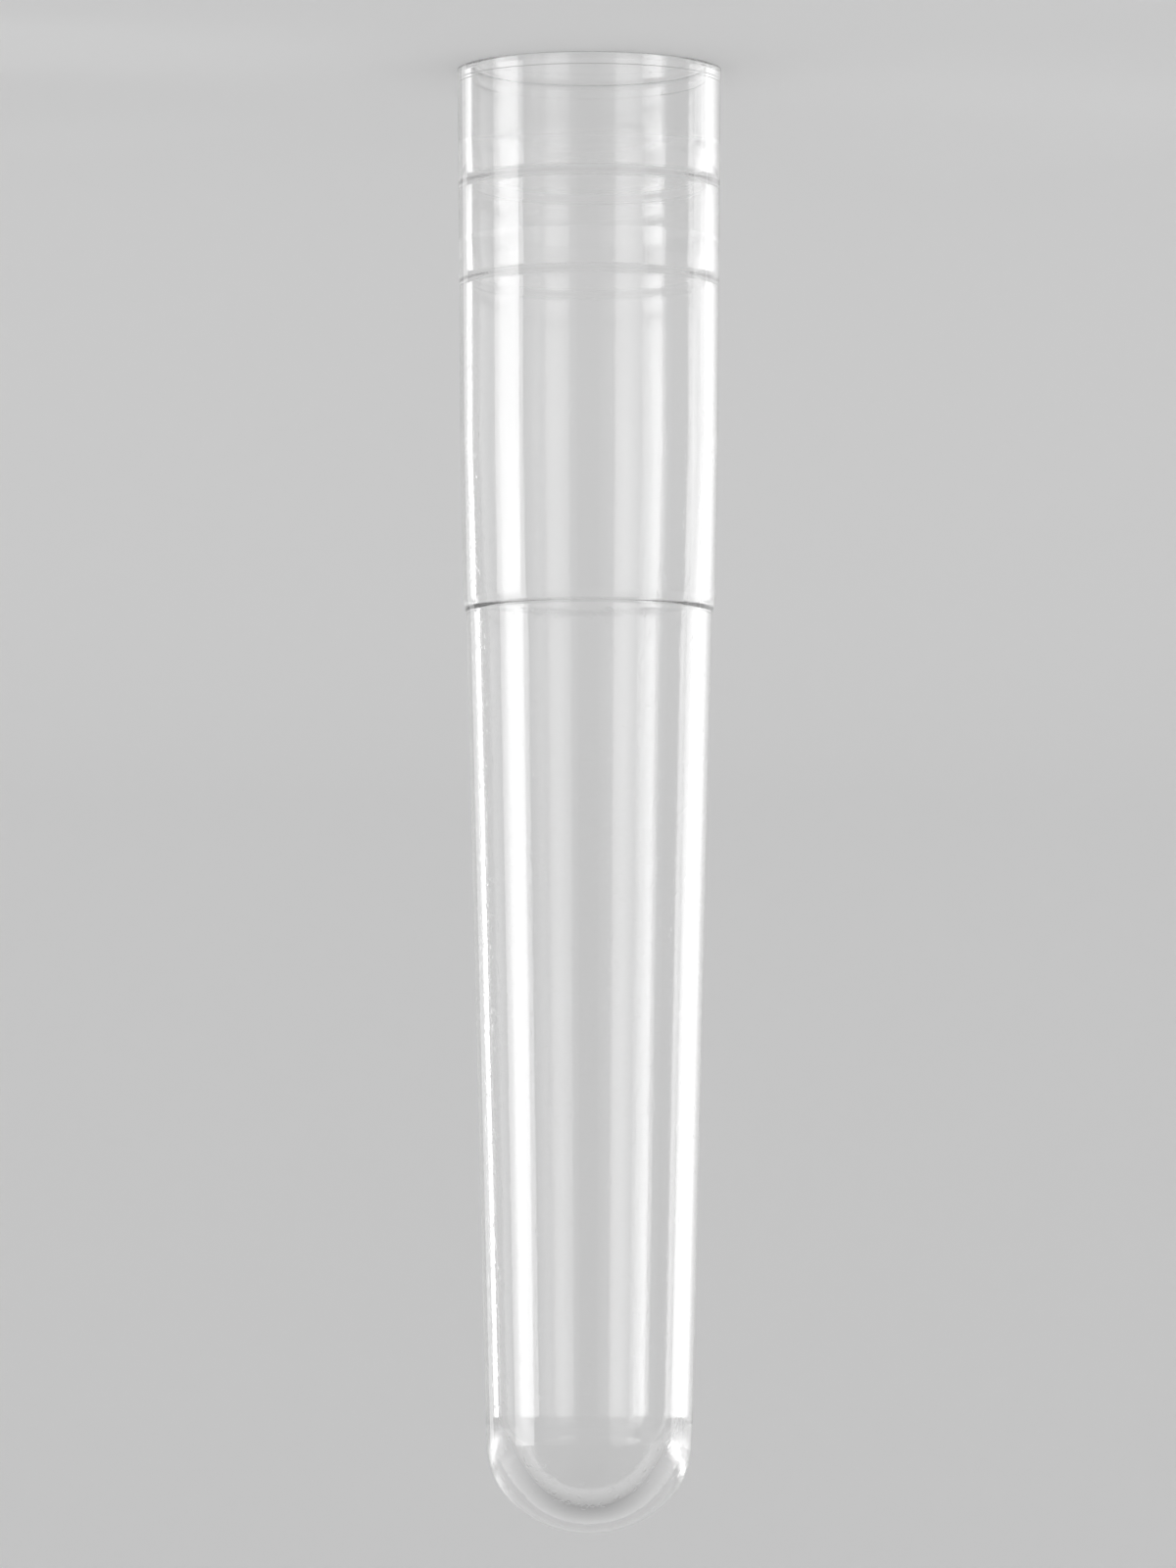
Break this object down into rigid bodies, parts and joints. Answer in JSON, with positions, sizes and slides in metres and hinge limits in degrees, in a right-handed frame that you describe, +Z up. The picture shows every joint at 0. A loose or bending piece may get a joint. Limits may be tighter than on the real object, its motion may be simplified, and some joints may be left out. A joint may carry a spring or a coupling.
{
  "type": "round-bottom sample tube",
  "caption": "Clear one-piece round-bottom tube with a tapered body, a wider collar and inner snap rings for a push-in cap.",
  "frame": {"origin": "centre of the rim's flat face, on which the tube stands upside down", "axes": "+Z up from the rim to the tip of the round bottom; +X and +Y are alike"},
  "size_m": [0.0172, 0.0172, 0.095],
  "materials": {
    "tube": "clear polished plastic"
  },
  "bodies": {
    "root": {"tube": "tube"}
  },
  "joints": []
}
